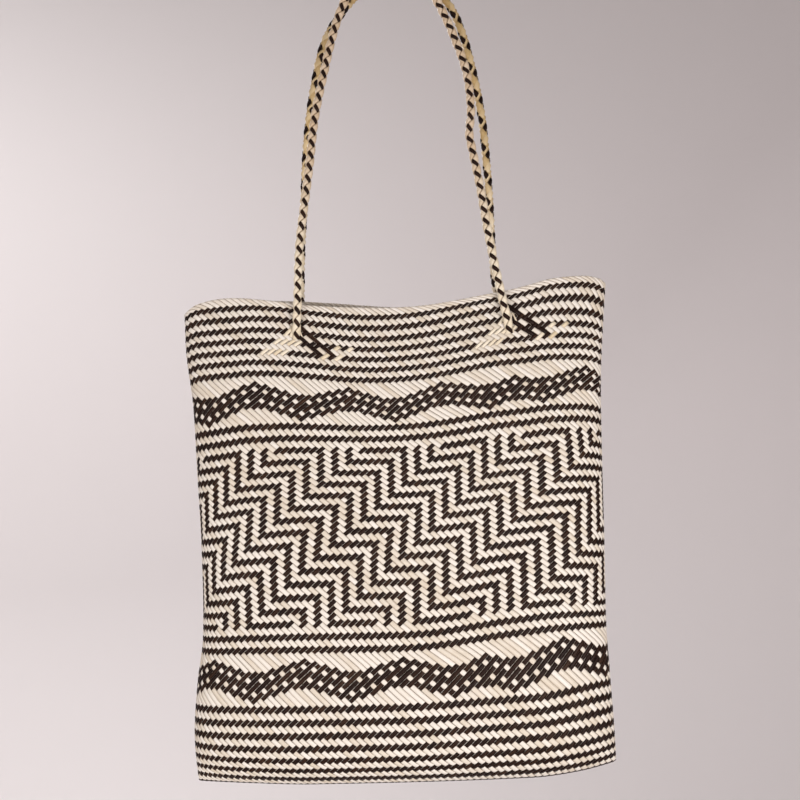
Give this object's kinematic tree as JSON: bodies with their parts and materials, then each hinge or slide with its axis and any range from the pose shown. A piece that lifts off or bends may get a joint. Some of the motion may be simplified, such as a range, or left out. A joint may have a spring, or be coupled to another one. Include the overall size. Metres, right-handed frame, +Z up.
{
  "type": "plaited rattan document bag",
  "caption": "Flat open-topped tote plaited from natural and black rattan strips, with a stepped and waved pattern, hung by a pair of arched braided handles.",
  "frame": {"origin": "the point that the bag hangs from, under the tops of both handles", "axes": "+Z up, +X to the right seen from the front, the front wall towards -Y"},
  "size_m": [0.356, 0.0662, 0.6847],
  "materials": {
    "natural_rattan": "split and scraped strips, undyed, satin",
    "black_rattan": "split and scraped strips, dyed brown-black, satin"
  },
  "bodies": {
    "root": {"bag_body": "natural_rattan", "front_handle": "natural_rattan", "back_handle": "natural_rattan", "front_left_natural_tail": "natural_rattan", "front_left_black_tail": "black_rattan", "front_right_natural_tail": "natural_rattan", "front_right_black_tail": "black_rattan", "back_left_natural_tail": "natural_rattan", "back_left_black_tail": "black_rattan", "back_right_natural_tail": "natural_rattan", "back_right_black_tail": "black_rattan"}
  },
  "joints": []
}
